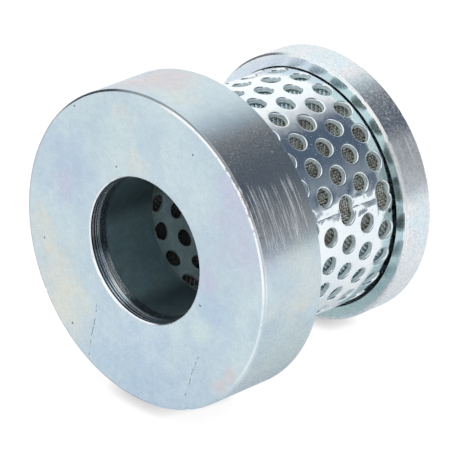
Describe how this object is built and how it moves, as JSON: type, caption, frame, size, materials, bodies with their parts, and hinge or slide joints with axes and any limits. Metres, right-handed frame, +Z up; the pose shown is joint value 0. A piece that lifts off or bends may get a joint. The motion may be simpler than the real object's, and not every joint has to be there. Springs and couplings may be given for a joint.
{
  "type": "pneumatic muffler",
  "caption": "Flanged air muffler: a thick bored mounting flange and a closed rear flange joined by two perforated steel tubes with gauze and wire packing between them.",
  "frame": {"origin": "centre of the front flange's face, on the muffler's axis", "axes": "+Y along the muffler's axis from the mounting face to the closed rear flange, +Z up as the muffler lies on its side, +X to the right seen from the mounting face"},
  "size_m": [0.054, 0.0437, 0.054],
  "materials": {
    "zinc_plated_steel": "turned steel, zinc plated with a clear bluish passivation, satin",
    "bright_zinc_sheet": "perforated sheet, bright zinc plated, nearly a mirror",
    "drawn_steel": "drawn and rolled steel inside the bore, thin plating, darker",
    "steel_wire": "woven unplated steel wire, dull grey brown",
    "steel_wool": "packed steel wire wool, dark"
  },
  "bodies": {
    "root": {"front_flange": "zinc_plated_steel", "rear_flange": "zinc_plated_steel", "inlet_sleeve": "drawn_steel", "inner_tube": "drawn_steel", "outer_tube": "bright_zinc_sheet", "inner_gauze": "steel_wire", "outer_gauze": "steel_wire", "packing": "steel_wool"}
  },
  "joints": []
}
